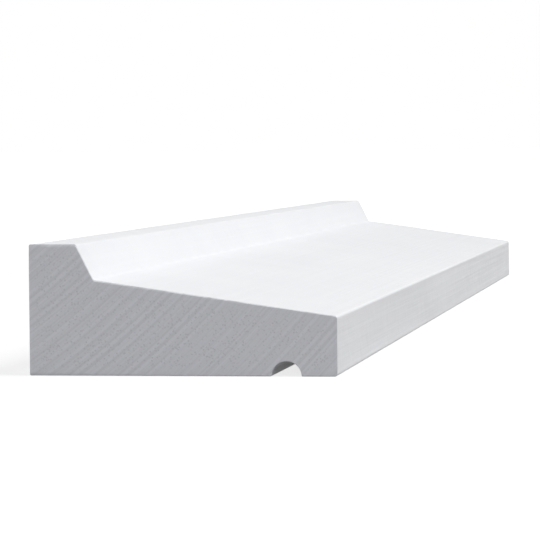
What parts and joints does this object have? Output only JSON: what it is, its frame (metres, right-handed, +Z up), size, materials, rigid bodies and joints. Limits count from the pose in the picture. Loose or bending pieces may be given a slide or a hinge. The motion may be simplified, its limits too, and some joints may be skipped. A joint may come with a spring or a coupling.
{
  "type": "drip cap",
  "caption": "Slim straight moulding with a weathered top, a back upstand and a half-round drip groove, to shed rain over a window or door head.",
  "frame": {"origin": "half way along the piece and half way from the nose face to the back face, on the plane of the flat underside", "axes": "+X along the length, +Y towards the wall that the back face lies on, +Z up"},
  "size_m": [0.3048, 0.0412, 0.0175],
  "materials": {
    "cellular_pvc": "satin extruded faces, sawn ends"
  },
  "bodies": {
    "root": {"drip_cap": "cellular_pvc"}
  },
  "joints": []
}
